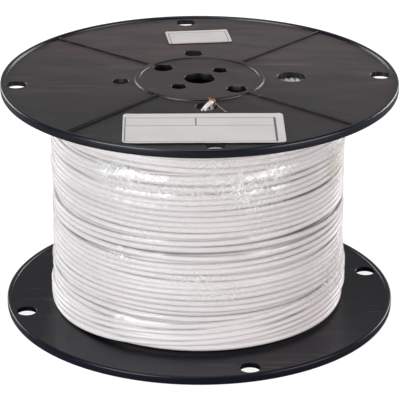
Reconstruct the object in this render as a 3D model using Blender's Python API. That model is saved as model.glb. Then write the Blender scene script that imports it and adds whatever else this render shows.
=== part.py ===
"""A plastic reel wound with white two-conductor electrical cable.

Metres, +Z up along the reel's axis, origin on the floor under the axis.
The reel stands on the rim of its bottom flange.
"""
import math

import bmesh
import bpy
from mathutils import Matrix, Vector

# Flange: one moulding, used at both ends of the reel
FLANGE_DIAMETER = 0.2667
RIM_WIDTH = 0.0030
RIM_RISE = 0.0018
RIM_LIP = 0.0007
RIM_FILLET = 0.0012
RIM_DRAFT = 0.0004
WEB_RIM_THICKNESS = 0.0034
WEB_HUB_THICKNESS = 0.0040
RING_WIDTH = 0.0030
RING_RISE = 0.0011
RING_DRAFT = 0.0004
HUB_RISE = 0.0006
RIB_WIDTH = 0.0027
RIB_RISE = 0.0010
RIB_COUNT = 4

# Holes of the flange
ARBOR_DIAMETER = 0.0206
DRIVE_HOLE_DIAMETER = 0.0133
DRIVE_HOLE_LAND = 0.0014
HUB_HOLE_DIAMETER = 0.0098
HUB_HOLE_LAND = 0.0061
RIM_HOLE_DIAMETER = 0.0134
RIM_HOLE_LAND = 0.0008
RIM_HOLE_COUNT = 4
START_HOLE_DIAMETERS = {90: 0.0125, 180: 0.0106, 270: 0.0138}
START_HOLE_SETBACK = 0.0100
LARGE_START_HOLE_DIAMETER = 0.0190
LARGE_START_HOLE_SETBACK = 0.0190

# How far the hole pattern of each flange is turned about the axis, in degrees
TOP_TURN = 4.7
BOTTOM_TURN = 15.7

# Barrel: the tube that joins the flanges
TRAVERSE = 0.1524
BARREL_DIAMETER = 0.0860
BARREL_WALL = 0.0026
BARREL_SEAT_DEPTH = 0.0012

# Cable and its winding
CABLE_DIAMETER = 0.0038
WOUND_DIAMETER = 0.1992
LAYER_GROOVE = 0.0013

# Side of the winding from bottom to top: share of the traverse, and how far the side
# stands out from WOUND_DIAMETER there. The short last layer swells it near the foot
WOUND_SIDE = (
    (0.000, 0.0000), (0.020, 0.0017), (0.068, 0.0025), (0.124, 0.0022), (0.190, 0.0009),
    (0.268, -0.0005), (0.347, -0.0006), (0.440, 0.0004), (0.500, -0.0002), (0.565, -0.0005),
    (0.605, -0.0002), (0.700, 0.0000), (0.826, 0.0002), (0.930, -0.0002), (1.000, 0.0000),
)

# Open gaps between bands of turns, as shares of the traverse
WOUND_GAPS = (0.038, 0.097, 0.150, 0.228, 0.307, 0.386, 0.530, 0.648, 0.780, 0.871)
GAP_WIDTH = 0.0030
GAP_DEPTH = 0.0014

# Clear film around the winding
FILM_THICKNESS = 0.0004
FILM_LOW_MARGIN = 0.0180
FILM_TOP_MARGIN = 0.0040

# The cable's inner end, which stands in the front start hole and leans over.
# TAIL_RISE is the height of its middle over the web. Directions are in degrees
TAIL_HOLE_ANGLE = 270
TAIL_FOOT_DIRECTION = 48.0
TAIL_LEAN_DIRECTION = 250.0
TAIL_RISE = 0.0028
TAIL_BEND_RADIUS = 0.0045
TAIL_LENGTH = 0.0088

# Paper labels on the top flange: width, height, corner radius and the gap from
# the outer corners to the rim; direction from the axis and turn, in degrees
LABEL_THICKNESS = 0.0003
LARGE_LABEL = {"width": 0.1026, "height": 0.0508, "corner": 0.0030,
               "rim_gap": 0.0013, "direction": -88.4, "turn": 1.0}
SMALL_LABEL = {"width": 0.0444, "height": 0.0272, "corner": 0.0020,
               "rim_gap": 0.0267, "direction": 90.6, "turn": 7.3}

# Clearance between pieces that seat on each other
FIT = 0.0003

# Smoothness of the round shapes
FLANGE_SEGMENTS = 64
WINDING_SEGMENTS = 40
HOLE_SEGMENTS = 16
FILLET_STEPS = 2
TAIL_BEND_STEPS = 6
CUT_OVERRUN = 0.002

# Places that follow from the sizes
FLANGE_RADIUS = FLANGE_DIAMETER / 2
BARREL_RADIUS = BARREL_DIAMETER / 2
SEAT_RADIUS = BARREL_RADIUS - BARREL_WALL / 2
RING_OUTER_RADIUS = SEAT_RADIUS + RING_WIDTH / 2
RING_INNER_RADIUS = SEAT_RADIUS - RING_WIDTH / 2
RIM_INNER_RADIUS = FLANGE_RADIUS - RIM_WIDTH
BOTTOM_INNER_FACE = WEB_RIM_THICKNESS + RIM_RISE
TOP_INNER_FACE = BOTTOM_INNER_FACE + TRAVERSE
HUB_THICKNESS = WEB_HUB_THICKNESS + HUB_RISE
WEB_FOOT_RADIUS = RIM_INNER_RADIUS - RIM_DRAFT
WEB_SLOPE = (WEB_HUB_THICKNESS - WEB_RIM_THICKNESS) / (WEB_FOOT_RADIUS - RING_OUTER_RADIUS)


def web_thickness(radius):
    """Thickness of the web, which tapers evenly from the hub ring to the rim."""
    return WEB_RIM_THICKNESS + WEB_SLOPE * (WEB_FOOT_RADIUS - radius)


def polar(radius, degrees):
    angle = math.radians(degrees)
    return radius * math.cos(angle), radius * math.sin(angle)


def arc(centre_x, centre_y, radius, start, end, steps):
    """Points of an arc from start to end, both in degrees."""
    points = []
    for step in range(steps + 1):
        x, y = polar(radius, start + (end - start) * step / steps)
        points.append((centre_x + x, centre_y + y))
    return points


def clear_scene():
    for obj in list(bpy.data.objects):
        bpy.data.objects.remove(obj, do_unlink=True)


def make_material(name, colour, roughness, metallic=0.0):
    material = bpy.data.materials.new(name)
    material.use_nodes = True
    shader = material.node_tree.nodes["Principled BSDF"]
    shader.inputs["Base Color"].default_value = (*colour, 1.0)
    shader.inputs["Roughness"].default_value = roughness
    shader.inputs["Metallic"].default_value = metallic
    material.diffuse_color = (*colour, 1.0)
    return material


def add_object(name, data, material=None):
    obj = bpy.data.objects.new(name, data)
    bpy.context.scene.collection.objects.link(obj)
    if material is not None:
        data.materials.append(material)
    return obj


def finish_mesh(shape, name, sharp_degrees=35.0):
    """Turn a bmesh into a mesh with outward faces, smooth where it is round."""
    bmesh.ops.remove_doubles(shape, verts=shape.verts, dist=1e-6)
    bmesh.ops.recalc_face_normals(shape, faces=shape.faces)
    mesh = bpy.data.meshes.new(name)
    shape.to_mesh(mesh)
    shape.free()
    mesh.shade_smooth()
    mesh.set_sharp_from_angle(angle=math.radians(sharp_degrees))
    return mesh


def turned_mesh(name, profile, segments):
    """Spin a closed outline of (radius, height) points about the axis."""
    shape = bmesh.new()
    verts = [shape.verts.new((radius, 0.0, height)) for radius, height in profile]
    edges = [shape.edges.new((verts[i - 1], verts[i])) for i in range(len(verts))]
    bmesh.ops.spin(shape, geom=verts + edges, cent=(0, 0, 0), axis=(0, 0, 1),
                   angle=2 * math.pi, steps=segments, use_merge=True)
    return finish_mesh(shape, name)


def as_guide(obj):
    """Keep an object as a modifier's operand, out of the model itself."""
    obj.hide_render = True
    obj.display_type = "WIRE"
    return obj


def add_boolean(obj, operand, operation):
    modifier = obj.modifiers.new(operand.name, "BOOLEAN")
    modifier.operation = operation
    modifier.solver = "EXACT"
    modifier.object = operand


def flange_outline():
    """Half section of a flange: inner face at height 0, outer face up."""
    rim_top = WEB_RIM_THICKNESS + RIM_RISE
    ring_top = WEB_HUB_THICKNESS + RING_RISE
    seat_inner = SEAT_RADIUS - BARREL_WALL / 2 - FIT
    seat_outer = SEAT_RADIUS + BARREL_WALL / 2 + FIT
    fillet_centre = FLANGE_RADIUS - RIM_FILLET
    outline = [
        (ARBOR_DIAMETER / 2, 0.0),
        (seat_inner, 0.0),
        (seat_inner, BARREL_SEAT_DEPTH),
        (seat_outer, BARREL_SEAT_DEPTH),
        (seat_outer, 0.0),
        (WEB_FOOT_RADIUS, 0.0),
        (RIM_INNER_RADIUS, -RIM_LIP),
    ]
    outline += arc(fillet_centre, -RIM_LIP + RIM_FILLET, RIM_FILLET, -90, 0, FILLET_STEPS)
    outline += arc(fillet_centre, rim_top - RIM_FILLET, RIM_FILLET, 0, 90, FILLET_STEPS)
    outline += [
        (RIM_INNER_RADIUS, rim_top),
        (WEB_FOOT_RADIUS, WEB_RIM_THICKNESS),
        (RING_OUTER_RADIUS + RING_DRAFT, web_thickness(RING_OUTER_RADIUS + RING_DRAFT)),
        (RING_OUTER_RADIUS, ring_top),
        (RING_INNER_RADIUS, ring_top),
        (RING_INNER_RADIUS - RING_DRAFT, HUB_THICKNESS),
        (ARBOR_DIAMETER / 2, HUB_THICKNESS),
    ]
    return outline


def flange_holes():
    """Every drilled hole of a flange: x, y and diameter, in the flange's own frame."""
    holes = []
    rim_circle = WEB_FOOT_RADIUS - RIM_HOLE_LAND - RIM_HOLE_DIAMETER / 2
    for number in range(RIM_HOLE_COUNT):
        holes.append((*polar(rim_circle, 360 * number / RIM_HOLE_COUNT), RIM_HOLE_DIAMETER))
    for angle, diameter in START_HOLE_DIAMETERS.items():
        holes.append((*polar(BARREL_RADIUS + START_HOLE_SETBACK, angle), diameter))
    large_circle = BARREL_RADIUS + LARGE_START_HOLE_SETBACK
    holes.append((*polar(large_circle, 0), LARGE_START_HOLE_DIAMETER))
    drive_circle = BARREL_RADIUS - BARREL_WALL - DRIVE_HOLE_LAND - DRIVE_HOLE_DIAMETER / 2
    hub_circle = ARBOR_DIAMETER / 2 + HUB_HOLE_LAND + HUB_HOLE_DIAMETER / 2
    for side in (0, 180):
        holes.append((*polar(drive_circle, 135 + side), DRIVE_HOLE_DIAMETER))
        holes.append((*polar(hub_circle, 45 + side), HUB_HOLE_DIAMETER))
    return holes


def hole_cutter_mesh():
    shape = bmesh.new()
    low = -RIM_LIP - CUT_OVERRUN
    high = WEB_RIM_THICKNESS + RIM_RISE + CUT_OVERRUN
    for x, y, diameter in flange_holes():
        bmesh.ops.create_cone(
            shape, cap_ends=True, segments=HOLE_SEGMENTS, radius1=diameter / 2,
            radius2=diameter / 2, depth=high - low,
            matrix=Matrix.Translation((x, y, (low + high) / 2)))
    return finish_mesh(shape, "flange_holes")


def rib_mesh():
    """Radial ribs, each sunk into the web, the hub ring and the rim."""
    shape = bmesh.new()
    inner = SEAT_RADIUS
    outer = FLANGE_RADIUS - RIM_WIDTH / 2
    root = WEB_RIM_THICKNESS / 2
    for number in range(RIB_COUNT):
        rotation = Matrix.Rotation(math.radians(45 + 360 * number / RIB_COUNT), 4, "Z")
        corners = []
        for radius in (inner, outer):
            top = web_thickness(radius) + RIB_RISE
            for y, z in ((-1, root), (1, root), (1, top), (-1, top)):
                corners.append(shape.verts.new(rotation @ Vector((radius, y * RIB_WIDTH / 2, z))))
        for face in ((0, 1, 2, 3), (4, 5, 6, 7), (0, 1, 5, 4), (1, 2, 6, 5), (2, 3, 7, 6),
                     (3, 0, 4, 7)):
            shape.faces.new([corners[i] for i in face])
    return finish_mesh(shape, "flange_ribs")


def build_flanges(material):
    """The same moulding twice: outer face up on top, turned over at the bottom."""
    body = turned_mesh("flange", flange_outline(), FLANGE_SEGMENTS)
    body.materials.append(material)
    holes = hole_cutter_mesh()
    ribs = rib_mesh()
    places = (
        ("top_flange", TOP_INNER_FACE, 0.0, TOP_TURN),
        ("bottom_flange", BOTTOM_INNER_FACE, 180.0, BOTTOM_TURN),
    )
    for name, height, flip, turn in places:
        flange = add_object(name, body)
        flange.location = (0, 0, height)
        flange.rotation_euler = (math.radians(flip), 0, math.radians(turn))
        for operand_mesh, operation in ((ribs, "UNION"), (holes, "DIFFERENCE")):
            operand = as_guide(add_object(f"{operand_mesh.name}_{name}", operand_mesh))
            operand.location = flange.location
            operand.rotation_euler = flange.rotation_euler
            add_boolean(flange, operand, operation)


def build_barrel(material):
    inner = BARREL_RADIUS - BARREL_WALL
    low = BOTTOM_INNER_FACE - BARREL_SEAT_DEPTH + FIT
    high = TOP_INNER_FACE + BARREL_SEAT_DEPTH - FIT
    outline = [(inner, low), (BARREL_RADIUS, low), (BARREL_RADIUS, high), (inner, high)]
    add_object("barrel", turned_mesh("barrel", outline, WINDING_SEGMENTS), material)


def winding_end(height, inward):
    """Crests and grooves of the cable's layers across one end of the winding."""
    bore = BARREL_RADIUS + FIT
    depth = WOUND_DIAMETER / 2 - bore
    layers = max(1, round(depth / CABLE_DIAMETER))
    pitch = depth / layers
    groove = height + inward * LAYER_GROOVE
    points = [(bore, groove)]
    for layer in range(layers):
        points.append((bore + (layer + 0.5) * pitch, height))
        points.append((bore + (layer + 1.0) * pitch, groove))
    return points


def side_swell(share):
    """How far the winding's side stands out at a share of the traverse."""
    for (low, swell), (high, next_swell) in zip(WOUND_SIDE, WOUND_SIDE[1:]):
        if share <= high:
            return swell + (next_swell - swell) * (share - low) / (high - low)
    return WOUND_SIDE[-1][1]


def side_points(shares, gaps=()):
    """Radius and height of the winding's side at these shares, grooved at its gaps."""
    half = GAP_WIDTH / 2 / TRAVERSE
    places = {share: 0.0 for share in shares
              if all(abs(share - gap) > half for gap in gaps)}
    for gap in gaps:
        places.update({gap - half: 0.0, gap: GAP_DEPTH, gap + half: 0.0})
    return [(WOUND_DIAMETER / 2 + side_swell(share) - places[share],
             BOTTOM_INNER_FACE + share * TRAVERSE) for share in sorted(places)]


def build_winding(material):
    """All the layers of cable as one turned solid with its bore on the barrel."""
    low = BOTTOM_INNER_FACE + FIT
    high = TOP_INNER_FACE - FIT
    side = side_points([share for share, swell in WOUND_SIDE[1:-1]], WOUND_GAPS)
    outline = winding_end(low, 1) + side + winding_end(high, -1)[::-1]
    add_object("cable_winding", turned_mesh("cable_winding", outline, WINDING_SEGMENTS), material)


def build_film(material):
    """A sleeve that follows the winding's side, just off it, and bridges its gaps."""
    low = FILM_LOW_MARGIN / TRAVERSE
    high = 1 - FILM_TOP_MARGIN / TRAVERSE
    between = [share for share, swell in WOUND_SIDE if low < share < high]
    side = side_points([low, *between, high])
    outline = [(radius + FIT, height) for radius, height in side]
    outline += [(radius + FIT + FILM_THICKNESS, height) for radius, height in reversed(side)]
    add_object("stretch_film", turned_mesh("stretch_film", outline, WINDING_SEGMENTS), material)


def tail_path():
    """Points of the tail's middle: up through the hole, a bend and a level run."""
    start_circle = BARREL_RADIUS + START_HOLE_SETBACK
    hole_radius = START_HOLE_DIAMETERS[TAIL_HOLE_ANGLE] / 2
    wall_gap = 2 * FIT
    hole = Vector(polar(start_circle, TAIL_HOLE_ANGLE + TOP_TURN))
    stand = hole_radius - CABLE_DIAMETER / 2 - wall_gap
    foot = hole + Vector(polar(stand, TAIL_FOOT_DIRECTION))
    lean = Vector(polar(1.0, TAIL_LEAN_DIRECTION))
    level = TOP_INNER_FACE + web_thickness(start_circle) + TAIL_RISE
    points = [(foot.x, foot.y, TOP_INNER_FACE)]
    for step in range(TAIL_BEND_STEPS + 1):
        angle = math.radians(90 * step / TAIL_BEND_STEPS)
        place = foot + lean * TAIL_BEND_RADIUS * (1 - math.cos(angle))
        points.append((place.x, place.y, level - TAIL_BEND_RADIUS * (1 - math.sin(angle))))
    end = foot + lean * (TAIL_BEND_RADIUS + TAIL_LENGTH)
    points.append((end.x, end.y, level))
    return points


def build_tail(material):
    """The cable's cut inner end."""
    curve = bpy.data.curves.new("cable_tail", "CURVE")
    curve.dimensions = "3D"
    curve.bevel_depth = CABLE_DIAMETER / 2
    curve.bevel_resolution = 3
    curve.use_fill_caps = True
    spline = curve.splines.new("POLY")
    path = tail_path()
    spline.points.add(len(path) - 1)
    for point, place in zip(spline.points, path):
        point.co = (*place, 1.0)
    spline.use_smooth = True
    add_object("cable_tail", curve, material)


def label_mesh(name, size):
    """A rounded sheet, centred, with its underside at height 0."""
    half_x = size["width"] / 2 - size["corner"]
    half_y = size["height"] / 2 - size["corner"]
    outline = []
    for sign_x, sign_y, start in ((1, 1, 0), (-1, 1, 90), (-1, -1, 180), (1, -1, 270)):
        outline += arc(sign_x * half_x, sign_y * half_y, size["corner"], start, start + 90,
                       FILLET_STEPS)
    shape = bmesh.new()
    face = shape.faces.new([shape.verts.new((x, y, 0.0)) for x, y in outline])
    extruded = bmesh.ops.extrude_face_region(shape, geom=[face])
    moved = [item for item in extruded["geom"] if isinstance(item, bmesh.types.BMVert)]
    bmesh.ops.translate(shape, verts=moved, vec=(0, 0, LABEL_THICKNESS))
    return finish_mesh(shape, name)


def build_label(name, size, material):
    """A label that lies on the tapered web of the top flange, just off it."""
    label = add_object(name, label_mesh(name, size), material)
    corner_radius = WEB_FOOT_RADIUS - size["rim_gap"]
    distance = math.sqrt(corner_radius ** 2 - (size["width"] / 2) ** 2) - size["height"] / 2
    x, y = polar(distance, size["direction"])
    height = TOP_INNER_FACE + web_thickness(distance) + FIT
    tilt = Matrix.Rotation(math.atan(WEB_SLOPE), 4, Vector((-y, x, 0)))
    turn = Matrix.Rotation(math.radians(size["turn"]), 4, "Z")
    label.matrix_world = Matrix.Translation((x, y, height)) @ tilt @ turn


def build():
    clear_scene()
    black_plastic = make_material("black_plastic", (0.055, 0.050, 0.052), 0.45)
    grey_board = make_material("grey_board", (0.18, 0.17, 0.16), 0.8)
    white_jacket = make_material("white_jacket", (0.78, 0.77, 0.77), 0.4)
    clear_film = make_material("clear_film", (0.90, 0.90, 0.90), 0.15)
    label_paper = make_material("label_paper", (0.80, 0.79, 0.78), 0.6)
    build_flanges(black_plastic)
    build_barrel(grey_board)
    build_winding(white_jacket)
    build_film(clear_film)
    build_tail(white_jacket)
    build_label("large_label", LARGE_LABEL, label_paper)
    build_label("small_label", SMALL_LABEL, label_paper)


build()
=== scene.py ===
"""A black plastic reel wound full of white electrical cable, under clear stretch film."""

import math

import bmesh
import bpy
import numpy as np
from mathutils import Matrix, Vector


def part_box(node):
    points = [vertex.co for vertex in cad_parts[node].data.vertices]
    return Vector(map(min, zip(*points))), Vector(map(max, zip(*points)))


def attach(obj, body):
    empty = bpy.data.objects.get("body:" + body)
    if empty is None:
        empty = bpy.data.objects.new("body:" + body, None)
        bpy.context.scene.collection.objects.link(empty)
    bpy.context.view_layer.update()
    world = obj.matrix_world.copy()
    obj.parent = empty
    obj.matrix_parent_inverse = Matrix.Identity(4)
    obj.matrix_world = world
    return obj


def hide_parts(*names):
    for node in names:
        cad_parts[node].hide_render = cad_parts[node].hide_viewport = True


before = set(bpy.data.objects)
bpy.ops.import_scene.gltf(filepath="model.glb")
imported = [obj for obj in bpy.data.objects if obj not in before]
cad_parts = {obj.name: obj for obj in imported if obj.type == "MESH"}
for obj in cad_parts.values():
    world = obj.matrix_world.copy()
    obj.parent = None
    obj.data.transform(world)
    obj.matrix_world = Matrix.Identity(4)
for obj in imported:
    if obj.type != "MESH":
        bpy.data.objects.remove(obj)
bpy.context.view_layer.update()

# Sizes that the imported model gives
FLANGE_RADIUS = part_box("top_flange")[1][0]
BARREL_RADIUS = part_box("barrel")[1][0]
FILM_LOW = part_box("stretch_film")[0][2]
FILM_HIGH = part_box("stretch_film")[1][2]

# Flange moulding, in metres
LOW_FACE = 0.0052
HIGH_FACE = 0.1576
RIM_WIDTH = 0.0030
RIM_RISE = 0.0018
RIM_LIP = 0.0007
RIM_FILLET = 0.0014
RIM_DRAFT = 0.0004
WEB_RIM_THICKNESS = 0.0034
WEB_HUB_THICKNESS = 0.0040
RING_INNER_RADIUS = 0.0402
RING_OUTER_RADIUS = 0.0432
RING_RISE = 0.0014
HUB_RISE = 0.0006
RIB_WIDTH = 0.0027
RIB_RISE = 0.0015
ARBOR_RADIUS = 0.0103
SEAT_INNER_RADIUS = 0.0401
SEAT_OUTER_RADIUS = 0.0433
SEAT_DEPTH = 0.0012
HOLE_CHAMFER = 0.0003
RING_FOOT = 0.0004
RIB_SINK = 0.0015
RIB_CROWN_WIDTH = 0.94
RIB_CROWN_RISE = 0.55
FLANGE_SEGMENTS = 224
HOLE_SEGMENTS = 48
MERGE_DISTANCE = 1e-6
SHARP_DEGREES = 32.0

# Holes of the moulding: distance from the axis, direction in degrees, radius
RIM_HOLES = [(0.12245, direction, 0.0067) for direction in (0, 90, 180, 270)]
START_HOLES = [(0.0530, 90, 0.00625), (0.0530, 180, 0.0053), (0.0530, 270, 0.0069),
               (0.0620, 0, 0.0095)]
DRIVE_HOLES = [(0.03235, direction, 0.00665) for direction in (135, 315)]
HUB_HOLES = [(0.0213, direction, 0.0049) for direction in (45, 225)]
# Flanges: height of the inner face, turn about the axis and flip in degrees
FLANGES = {"top_flange": (HIGH_FACE, 4.7, 0.0), "bottom_flange": (LOW_FACE, 15.7, 180.0)}

# Cable, and the side of its winding
CABLE_DIAMETER = 0.0038
CABLE_SEED = 11
WOUND_RADIUS = 0.0996
TURN_CLEARANCE = 0.0003

# Places on the film: direction in degrees, height, half width, half height, creases, white veil that is
# partly painted sheen
FILM_PLACES = (
    (-120, 0.1270, 0.020, 0.012, 0.90, 0.30), (-97, 0.1200, 0.030, 0.009, 0.55, 0.20),
    (-72, 0.1210, 0.026, 0.014, 1.00, 0.40), (-60, 0.1235, 0.012, 0.018, 0.80, 0.30),
    (-84, 0.1400, 0.014, 0.005, 0.60, 0.10), (-121, 0.0700, 0.013, 0.006, 0.60, 0.15),
    (-92, 0.0600, 0.024, 0.005, 0.60, 0.15), (-81, 0.0500, 0.024, 0.006, 0.50, 0.15),
    (-24, 0.0440, 0.018, 0.016, 0.70, 0.20), (-34, 0.0330, 0.020, 0.010, 0.60, 0.00),
    (-25, 0.1250, 0.018, 0.012, 0.60, 0.15), (-127, 0.1240, 0.014, 0.014, 0.00, 0.45),
    (-120, 0.1060, 0.017, 0.018, 0.00, 0.60), (-112, 0.0900, 0.020, 0.015, 0.00, 0.45),
    (-66, 0.0860, 0.030, 0.016, 0.00, 0.30), (60, 0.1200, 0.040, 0.020, 0.80, 0.30),
    (130, 0.0500, 0.040, 0.020, 0.70, 0.30), (160, 0.1250, 0.030, 0.016, 0.70, 0.20),
    (10, 0.0950, 0.028, 0.014, 0.60, 0.20), (-24, 0.1120, 0.014, 0.018, 0.30, 0.60),
)
# Where the film is a little yellowed: direction in degrees, height, reach
YELLOWED_SPOT = (-23, 0.1140, 0.018)

# Camera of the photograph
CAMERA_PLACE = (0.0, -1.41925, 0.66998)
CAMERA_DOWN = 22.817
CAMERA_ROLL = 0.083
CAMERA_LENS = 201.578
CAMERA_SHIFT = (0.0015, 0.0011)


def polar(radius, degrees):
    """X and Y of a point at this distance and direction from the axis."""
    angle = math.radians(degrees)
    return radius * math.cos(angle), radius * math.sin(angle)


def web_thickness(radius):
    """Thickness of a flange's web, which grows from the rim to the hub ring."""
    foot = FLANGE_RADIUS - RIM_WIDTH - RIM_DRAFT
    share = (foot - radius) / (foot - RING_OUTER_RADIUS)
    return WEB_RIM_THICKNESS + share * (WEB_HUB_THICKNESS - WEB_RIM_THICKNESS)


def web_top(radius):
    """Height of the top flange's outer face at a distance from the axis."""
    return HIGH_FACE + web_thickness(radius)


# Materials


class Nodes:
    """Short calls for building one node tree."""

    def __init__(self, tree):
        self.tree = tree

    def put(self, socket, value):
        if isinstance(value, bpy.types.NodeSocket):
            self.tree.links.new(value, socket)
        else:
            socket.default_value = value

    def add(self, kind, settings=None, **inputs):
        node = self.tree.nodes.new(kind)
        for key, value in (settings or {}).items():
            setattr(node, key, value)
        for key, value in inputs.items():
            self.put(node.inputs[key.replace("_", " ")], value)
        return node

    def in_order(self, kind, settings, values):
        node = self.add(kind, settings)
        for socket, value in zip(node.inputs, values):
            self.put(socket, value)
        return node.outputs[0]

    def math(self, operation, *values, clamp=False):
        settings = {"operation": operation, "use_clamp": clamp}
        return self.in_order("ShaderNodeMath", settings, values)

    def times(self, first, second, clamp=False):
        return self.math("MULTIPLY", first, second, clamp=clamp)

    def plus(self, first, second, clamp=False):
        return self.math("ADD", first, second, clamp=clamp)

    def ramp(self, factor, low, high, to_low=0.0, to_high=1.0):
        values = (factor, low, high, to_low, to_high)
        return self.in_order("ShaderNodeMapRange", {"clamp": True}, values)

    def mix(self, factor, first, second):
        node = self.add("ShaderNodeMix", {"data_type": "RGBA"})
        for index, value in ((0, factor), (6, first), (7, second)):
            self.put(node.inputs[index], value)
        return node.outputs[2]

    def noise(self, vector, scale, detail=3.0, roughness=0.5, distortion=0.0):
        return self.add("ShaderNodeTexNoise", Vector=vector, Scale=scale, Detail=detail,
                        Roughness=roughness, Distortion=distortion).outputs["Fac"]

    def blots(self, vector, scale, low, high, to_low=0.0, to_high=1.0, **settings):
        return self.ramp(self.noise(vector, scale, **settings), low, high, to_low, to_high)

    def mapping(self, vector, scale=(1, 1, 1), turn=(0, 0, 0), move=(0, 0, 0)):
        return self.add("ShaderNodeMapping", Vector=vector, Scale=scale, Location=move,
                        Rotation=[math.radians(part) for part in turn]).outputs[0]

    def distance(self, first, second=(0, 0, 0)):
        node = self.add("ShaderNodeVectorMath", {"operation": "DISTANCE"})
        self.put(node.inputs[0], first)
        self.put(node.inputs[1], second)
        return node.outputs["Value"]

    def bump(self, height, distance, strength=1.0, normal=None):
        node = self.add("ShaderNodeBump", Height=height, Distance=distance, Strength=strength)
        if normal is not None:
            self.put(node.inputs["Normal"], normal)
        return node.outputs[0]


def shader_group(name, inputs, masks):
    """An empty group: inputs as (name, value), where None makes a vector, and masks it puts out."""
    tree = bpy.data.node_groups.new(name, "ShaderNodeTree")
    for label, value in inputs:
        kind = "NodeSocketVector" if value is None else "NodeSocketFloat"
        socket = tree.interface.new_socket(label, in_out="INPUT", socket_type=kind)
        if value is not None:
            socket.default_value = value
    for label in masks:
        tree.interface.new_socket(label, in_out="OUTPUT", socket_type="NodeSocketFloat")
    n = Nodes(tree)
    return n, n.add("NodeGroupInput").outputs, n.add("NodeGroupOutput").inputs


def handling_marks_group():
    """Wiped smears, fine scratches and loose dust of a handled plastic face."""
    n, given, masks = shader_group(
        "handling_marks",
        [("Vector", None), ("Smear size", 26.0), ("Scratch amount", 0.5), ("Dust amount", 0.5)],
        ("Smears", "Scratches", "Dust"))
    place = given["Vector"]
    wiped = n.mapping(place, scale=(1.0, 3.4, 1.0), turn=(0, 0, 24))
    smear = n.noise(wiped, given["Smear size"], detail=5.0, roughness=0.62, distortion=0.6)
    n.put(masks["Smears"], n.ramp(smear, 0.34, 0.68))
    lines = None
    for turn, shift in ((18, 0.0), (-37, 3.1), (71, 7.7)):
        track = n.mapping(place, scale=(7.0, 520.0, 7.0), turn=(0, 0, turn), move=(shift, shift, 0))
        streak = n.blots(track, 1.0, 0.665, 0.70, detail=1.5)
        patch = n.blots(place, 17.0 + shift, 0.5, 0.62, detail=2.0)
        line = n.times(streak, patch)
        lines = line if lines is None else n.math("MAXIMUM", lines, line)
    n.put(masks["Scratches"], n.times(lines, given["Scratch amount"]))
    specks = n.blots(place, 1450.0, 0.66, 0.74, detail=2.0)
    drift = n.blots(place, 12.0, 0.42, 0.62)
    n.put(masks["Dust"], n.times(n.times(specks, drift), given["Dust amount"]))
    return n.tree


def printed_box_group():
    """A mask of one printed box on a label, between four edges of its 0 to 1 map."""
    n, given, masks = shader_group(
        "printed_box", [("Map", None), ("Left", 0.0), ("Right", 1.0), ("Low", 0.0), ("High", 1.0)],
        ("Ink",))
    x, y, _ = n.add("ShaderNodeSeparateXYZ", Vector=given["Map"]).outputs
    across = n.times(n.math("GREATER_THAN", x, given["Left"]), n.math("LESS_THAN", x, given["Right"]))
    up = n.times(n.math("GREATER_THAN", y, given["Low"]), n.math("LESS_THAN", y, given["High"]))
    n.put(masks["Ink"], n.times(across, up))
    return n.tree


def new_material(name):
    """A material, its nodes, its shader, and the place on the piece that its patterns read."""
    material = bpy.data.materials.new(name)
    material.use_nodes = True
    n = Nodes(material.node_tree)
    shader = material.node_tree.nodes["Principled BSDF"].inputs
    place = n.add("ShaderNodeTexCoord").outputs["Object"]
    return material, n, shader, place


def from_axis(n, place):
    """Distance of a place from the reel's axis."""
    return n.distance(n.mapping(place, scale=(1, 1, 0)))


def black_plastic(marks, smear_size, dust, face_colour, smear_and_sheen_colour, refraction):
    """Moulded black plastic: wiped and cloudy on its faces, with painted sheen lightening its level
    faces toward the back, rubbed smooth on its rim.
    """
    material, n, shader, place = new_material("black_plastic")
    handled = n.add("ShaderNodeGroup", {"node_tree": marks}, Vector=place, Smear_size=smear_size,
                    Scratch_amount=0.35, Dust_amount=dust).outputs
    x, y, _ = n.add("ShaderNodeSeparateXYZ", Vector=place).outputs
    rim = n.ramp(from_axis(n, place), FLANGE_RADIUS - 0.0040, FLANGE_RADIUS - 0.0034)
    # Painted sheen: the smear colour fades toward the front and shows only on level faces, standing for
    # the lights' sheen.
    painted_sheen_falloff = n.ramp(n.math("MULTIPLY_ADD", x, 0.25, y), -0.10, 0.09)
    patchy = n.math("MULTIPLY_ADD", handled["Smears"], 0.75, 0.55)
    facing = n.add("ShaderNodeSeparateXYZ", Vector=n.add("ShaderNodeNewGeometry").outputs["Normal"])
    level = n.ramp(n.math("ABSOLUTE", facing.outputs[2]), 0.72, 0.96)
    smears = n.times(n.times(painted_sheen_falloff, level), patchy, clamp=True)
    warm = n.blots(place, 19.0, 0.38, 0.64)
    red, green, blue = smear_and_sheen_colour
    smear_and_sheen_tone = n.mix(warm, (red * 0.82, green, blue, 1), (red * 1.12, green * 0.95, blue, 1))
    cloud = n.mix(smears, (*face_colour, 1), smear_and_sheen_tone)
    scratched = n.mix(handled["Scratches"], cloud, (0.20, 0.19, 0.19, 1))
    dusty = n.mix(handled["Dust"], scratched, (0.42, 0.40, 0.38, 1))
    n.put(shader["Base Color"], n.mix(rim, dusty, (0.002, 0.003, 0.010, 1)))
    fine = n.noise(place, 900.0)
    dull = n.plus(n.ramp(smears, 0.0, 1.0, 0.36, 0.50), n.ramp(fine, 0.3, 0.7, -0.03, 0.03))
    n.put(shader["Roughness"], n.mix(rim, dull, (0.30, 0.30, 0.30, 1)))
    height = n.plus(n.times(fine, 0.5), n.times(handled["Scratches"], -1.0))
    ripple = n.bump(n.noise(place, 46.0, detail=2.0), 0.0006, 0.25)
    n.put(shader["Normal"], n.bump(height, 0.00004, 0.5, ripple))
    shader["IOR"].default_value = refraction
    return material


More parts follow.
